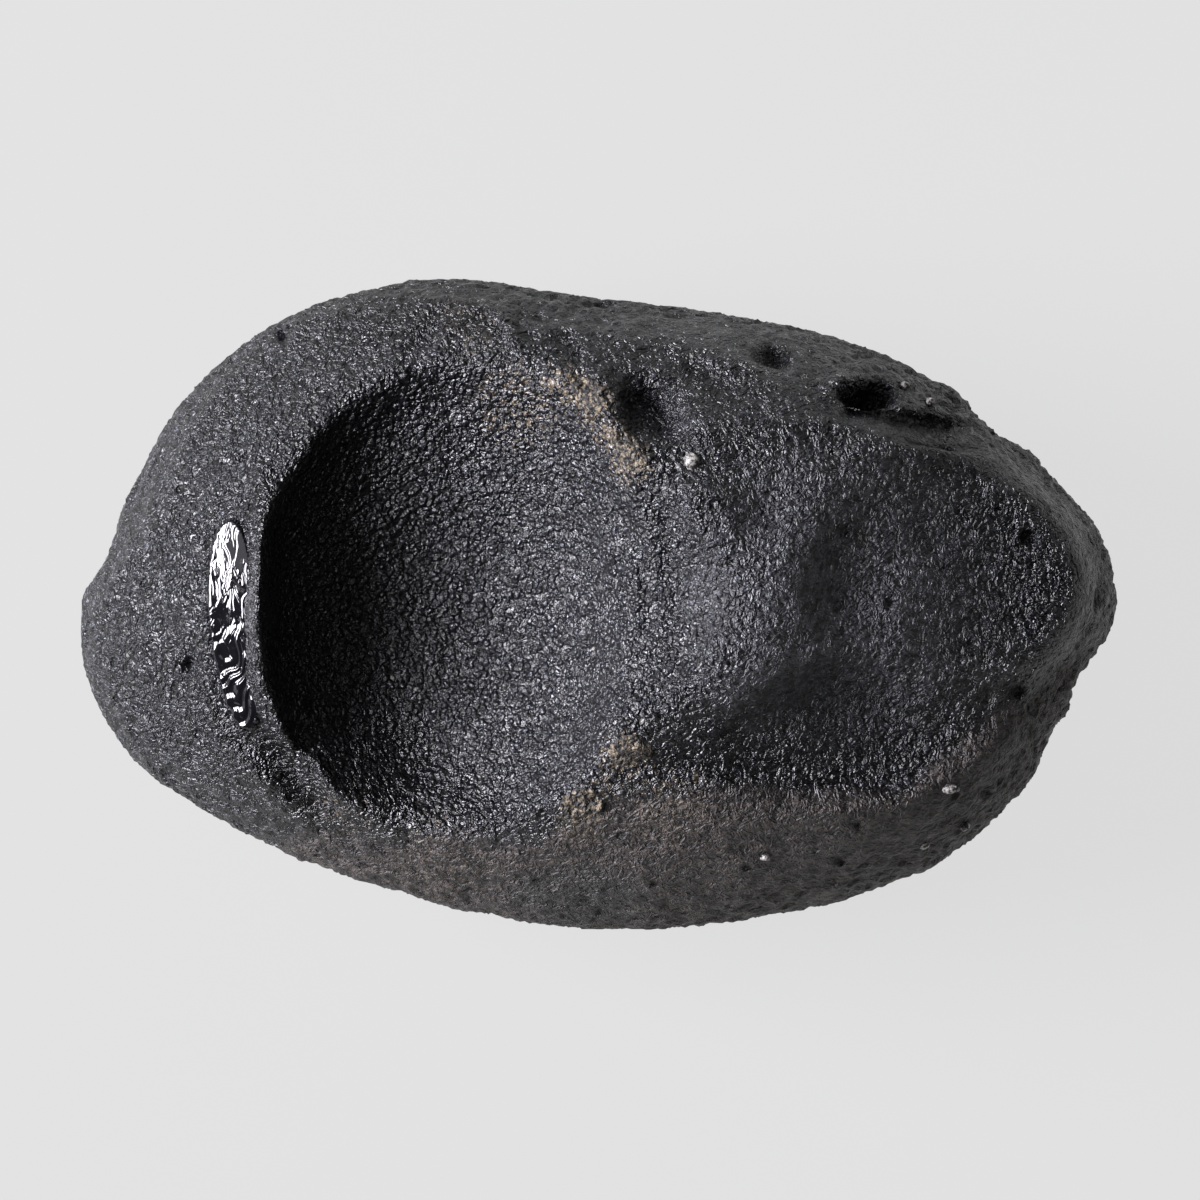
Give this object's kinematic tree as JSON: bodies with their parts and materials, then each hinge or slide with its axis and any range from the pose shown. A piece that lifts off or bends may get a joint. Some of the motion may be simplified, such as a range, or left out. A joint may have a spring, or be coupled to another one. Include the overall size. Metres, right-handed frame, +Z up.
{
  "type": "massage stone",
  "caption": "Palm-sized black volcanic massage stone with a deep thumb hollow, a shallow finger hollow and a worn flat base.",
  "frame": {"origin": "middle of the bounding box's bottom, on the plane of the resting face", "axes": "+X along the stone towards its narrow end, +Y across it towards the flank with the pits, +Z up out of the hollows"},
  "size_m": [0.0901, 0.0565, 0.0361],
  "materials": {
    "volcanic_stone": "rough, finely pitted, slightly glassy",
    "black_glass": "natural volcanic glass, glossy and opaque",
    "ochre_crust": "dull granular crust",
    "pale_crystal": "small satin crystals"
  },
  "bodies": {
    "root": {"stone_body": "volcanic_stone", "glass_lens": "black_glass", "ochre_crust_1": "ochre_crust", "ochre_crust_2": "ochre_crust", "ochre_crust_3": "ochre_crust", "ochre_crust_4": "ochre_crust", "pale_grain_1": "pale_crystal", "pale_grain_2": "pale_crystal", "pale_grain_3": "pale_crystal", "pale_grain_4": "pale_crystal", "pale_grain_5": "pale_crystal", "pale_grain_6": "pale_crystal", "pale_grain_7": "pale_crystal"}
  },
  "joints": []
}
